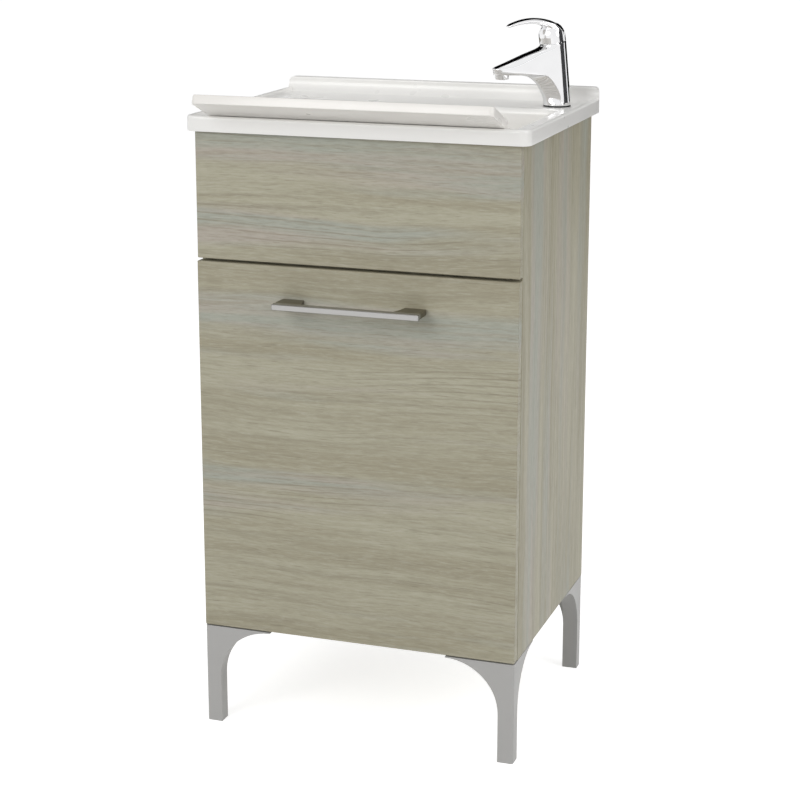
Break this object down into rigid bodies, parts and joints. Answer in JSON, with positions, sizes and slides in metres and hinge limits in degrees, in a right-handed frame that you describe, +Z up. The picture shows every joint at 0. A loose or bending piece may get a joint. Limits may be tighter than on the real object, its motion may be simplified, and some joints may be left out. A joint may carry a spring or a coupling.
{
  "type": "utility laundry sink",
  "caption": "Utility laundry sink: white moulded sink top with a lift-out washboard and lever mixer tap, on a wood-grain melamine cabinet with one hinged door and four grey legs.",
  "frame": {"origin": "on the floor, under the centre of the bounding box", "axes": "+Z up, -Y towards the user (the door side), +Y towards the wall, +X to the user's right"},
  "size_m": [0.474, 0.4314, 0.9854],
  "materials": {
    "melamine": "satin wood-grain foil",
    "sink_white": "gloss",
    "washboard_white": "satin gloss",
    "leg_grey": "satin",
    "handle_satin": "satin",
    "handle_feet": "satin",
    "chrome": "polished",
    "zinc": "zinc plated",
    "brass": "machined",
    "rubber": "matt",
    "white_plastic": "matt",
    "clear_buffer": "soft clear"
  },
  "bodies": {
    "cabinet": {"back_rail_lower": "melamine", "back_rail_upper": "melamine", "bottom_panel": "melamine", "front_rail": "melamine", "hinge_arm_lower": "zinc", "hinge_arm_upper": "zinc", "hinge_plate_lower": "zinc", "hinge_plate_upper": "zinc", "leg_back_left": "leg_grey", "leg_back_right": "leg_grey", "leg_front_left": "leg_grey", "leg_front_right": "leg_grey", "leg_screw_back_left_1": "zinc", "leg_screw_back_left_2": "zinc", "leg_screw_back_right_1": "zinc", "leg_screw_back_right_2": "zinc", "leg_screw_front_left_1": "zinc", "leg_screw_front_left_2": "zinc", "leg_screw_front_right_1": "zinc", "leg_screw_front_right_2": "zinc", "outlet_pipe": "white_plastic", "panel_bracket_left": "zinc", "panel_bracket_right": "zinc", "side_panel_left": "melamine", "side_panel_right": "melamine", "sink_top": "sink_white", "tailpiece": "white_plastic", "tailpiece_nut": "white_plastic", "tap_aerator": "chrome", "tap_base_seal": "rubber", "tap_body": "chrome", "tap_cartridge": "white_plastic", "tap_cartridge_ring": "chrome", "tap_clamp_nut": "brass", "tap_clamp_washer": "zinc", "tap_stud": "zinc", "trap_body": "white_plastic", "trap_cup": "white_plastic", "trap_inlet_nut": "white_plastic", "trap_outlet_nut": "white_plastic", "upper_front_panel": "melamine", "waste_flange": "chrome", "waste_nut": "white_plastic", "waste_seal": "rubber"},
    "door": {"door_buffer_lower": "clear_buffer", "door_buffer_upper": "clear_buffer", "door_panel": "melamine", "handle_bar": "handle_satin", "handle_foot_left": "handle_feet", "handle_foot_right": "handle_feet", "handle_screw_left": "zinc", "handle_screw_right": "zinc", "hinge_cup_lower": "zinc", "hinge_cup_upper": "zinc"},
    "tap_stem": {"tap_stem": "zinc"},
    "tap_lever": {"tap_lever": "chrome", "tap_lever_plug": "handle_feet"},
    "washboard": {"washboard": "washboard_white"},
    "waste_plug": {"waste_plug": "rubber"}
  },
  "joints": [
    {"name": "door_hinge", "type": "hinge", "parent": "cabinet", "child": "door", "pos_m": [-0.22, -0.15627, 0.4048], "axis": [0, 0, -1], "range_deg": [0, 105]},
    {"name": "lever_turn", "type": "hinge", "parent": "cabinet", "child": "tap_stem", "pos_m": [0.1852, 0.13497, 0.9473], "axis": [-0.1281, -0.0897, 0.9877], "range_deg": [-40, 40]},
    {"name": "lever_lift", "type": "hinge", "parent": "tap_stem", "child": "tap_lever", "pos_m": [0.19621, 0.14268, 0.95196], "axis": [-0.5736, 0.8192, 0], "range_deg": [0, 18]},
    {"name": "washboard_lift", "type": "slide", "parent": "cabinet", "child": "washboard", "axis": [0, -0.766, 0.6428], "range_m": [0, 0.28]},
    {"name": "plug_lift", "type": "slide", "parent": "cabinet", "child": "waste_plug", "axis": [0, 0, 1], "range_m": [0, 0.05]}
  ]
}
